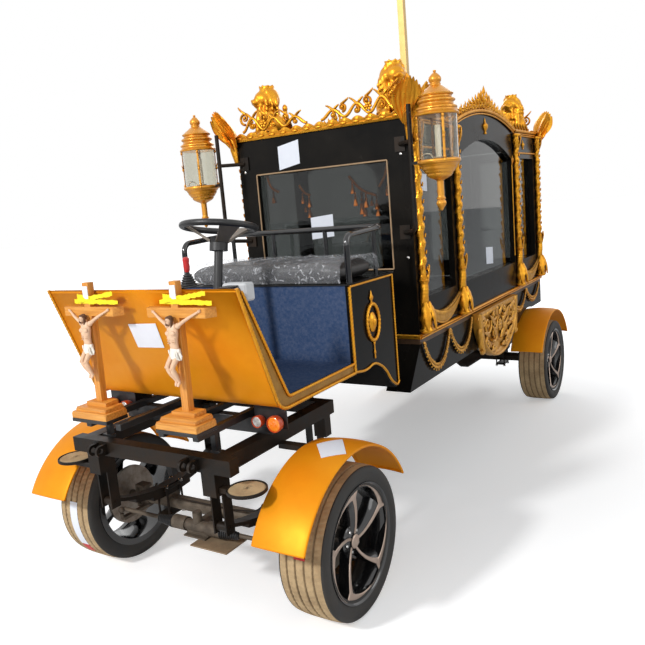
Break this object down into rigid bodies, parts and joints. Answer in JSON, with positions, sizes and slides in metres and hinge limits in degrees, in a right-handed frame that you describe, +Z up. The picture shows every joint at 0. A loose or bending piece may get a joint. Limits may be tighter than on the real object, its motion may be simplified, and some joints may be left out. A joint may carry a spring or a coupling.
{
  "type": "motor hearse",
  "caption": "Open-fronted motor hearse on road wheels: driver's tub with bench, glazed hearse body with gilt columns, cresting, lanterns and rear doors.",
  "frame": {"origin": "on the ground, under the middle of the overall box", "axes": "-Y to the front, +X to the vehicle's left, +Z up"},
  "size_m": [1.666, 3.9759, 3.1499],
  "materials": {
    "tyre_rubber": "matt",
    "wheel_alloy": "gloss black with machined faces",
    "frame_black": "satin black",
    "orange_lacquer": "gloss",
    "floor_carpet": "matt",
    "black_lacquer": "high gloss",
    "deck_wood": "satin",
    "cushion_vinyl": "satin",
    "gilt": "gold leaf, gloss",
    "clear_glass": "polished",
    "cross_wood": "satin",
    "lamp_lens": "gloss"
  },
  "bodies": {
    "chassis": {"battery_box": "frame_black", "body_glass": "clear_glass", "body_rail": "gilt", "cab_floor": "floor_carpet", "chassis_frame": "frame_black", "columns": "gilt", "corner_leaves": "gilt", "cornice": "gilt", "crucifixes": "cross_wood", "dash_panel": "orange_lacquer", "driver_controls": "black_lacquer", "foot_steps": "frame_black", "front_axle": "frame_black", "front_lamps": "lamp_lens", "front_wall": "black_lacquer", "hearse_deck": "deck_wood", "hearse_roof": "black_lacquer", "lantern_brackets": "frame_black", "lantern_glass": "clear_glass", "lanterns": "gilt", "leaf_springs": "frame_black", "lions": "gilt", "mudguards": "orange_lacquer", "rack_housing": "frame_black", "rear_axle": "frame_black", "rear_frame": "black_lacquer", "roof_crest": "gilt", "roof_cross": "gilt", "seat_box": "black_lacquer", "seat_cushion": "cushion_vinyl", "seat_rail": "frame_black", "side_panels": "black_lacquer", "side_walls": "black_lacquer", "skirt": "black_lacquer", "skirt_carvings": "gilt", "steering_column": "frame_black", "tub_mouldings": "gilt"},
    "knuckle_left": {"knuckle_left": "frame_black"},
    "knuckle_right": {"knuckle_right": "frame_black"},
    "tie_rods": {"tie_rods": "frame_black"},
    "steering_wheel": {"steering_wheel": "black_lacquer"},
    "rear_door_left": {"rear_door_left": "black_lacquer", "door_glass_left": "clear_glass"},
    "rear_door_right": {"rear_door_right": "black_lacquer", "door_glass_right": "clear_glass"},
    "wheel_front_left": {"tyre_front_left": "tyre_rubber", "rim_front_left": "wheel_alloy"},
    "wheel_front_right": {"tyre_front_right": "tyre_rubber", "rim_front_right": "wheel_alloy"},
    "wheel_rear_left": {"tyre_rear_left": "tyre_rubber", "rim_rear_left": "wheel_alloy"},
    "wheel_rear_right": {"tyre_rear_right": "tyre_rubber", "rim_rear_right": "wheel_alloy"}
  },
  "joints": [
    {"name": "steer_left", "type": "hinge", "parent": "chassis", "child": "knuckle_left", "pos_m": [0.47, -1.548, 0.3], "axis": [0, 0, 1], "range_deg": [-26, 26]},
    {"name": "steer_right", "type": "hinge", "parent": "chassis", "child": "knuckle_right", "pos_m": [-0.47, -1.548, 0.3], "axis": [0, 0, 1], "range_deg": [-26, 26]},
    {"name": "rack_slide", "type": "slide", "parent": "chassis", "child": "tie_rods", "axis": [1, 0, 0], "range_m": [-0.076, 0.076]},
    {"name": "steering_wheel_turn", "type": "hinge", "parent": "chassis", "child": "steering_wheel", "pos_m": [0, -1.356, 1.543], "axis": [0, 0.1908, 0.9816], "range_deg": [-338, 338]},
    {"name": "spin_front_left", "type": "hinge", "parent": "knuckle_left", "child": "wheel_front_left", "pos_m": [0.6155, -1.548, 0.3], "axis": [1, 0, 0], "continuous": true},
    {"name": "spin_front_right", "type": "hinge", "parent": "knuckle_right", "child": "wheel_front_right", "pos_m": [-0.6155, -1.548, 0.3], "axis": [1, 0, 0], "continuous": true},
    {"name": "spin_rear_left", "type": "hinge", "parent": "chassis", "child": "wheel_rear_left", "pos_m": [0.6155, 1.516, 0.3], "axis": [1, 0, 0], "continuous": true},
    {"name": "spin_rear_right", "type": "hinge", "parent": "chassis", "child": "wheel_rear_right", "pos_m": [-0.6155, 1.516, 0.3], "axis": [1, 0, 0], "continuous": true},
    {"name": "door_left_swing", "type": "hinge", "parent": "chassis", "child": "rear_door_left", "pos_m": [0.452, 1.882, 1.4], "axis": [0, 0, -1], "range_deg": [0, 110]},
    {"name": "door_right_swing", "type": "hinge", "parent": "chassis", "child": "rear_door_right", "pos_m": [-0.452, 1.882, 1.4], "axis": [0, 0, 1], "range_deg": [0, 110]}
  ],
  "couplings": [
    {"joint": "steer_right", "follows": "steer_left", "ratio": 1},
    {"joint": "rack_slide", "follows": "steer_left", "m_per_rad": 0.165},
    {"joint": "steering_wheel_turn", "follows": "steer_left", "ratio": 13}
  ]
}
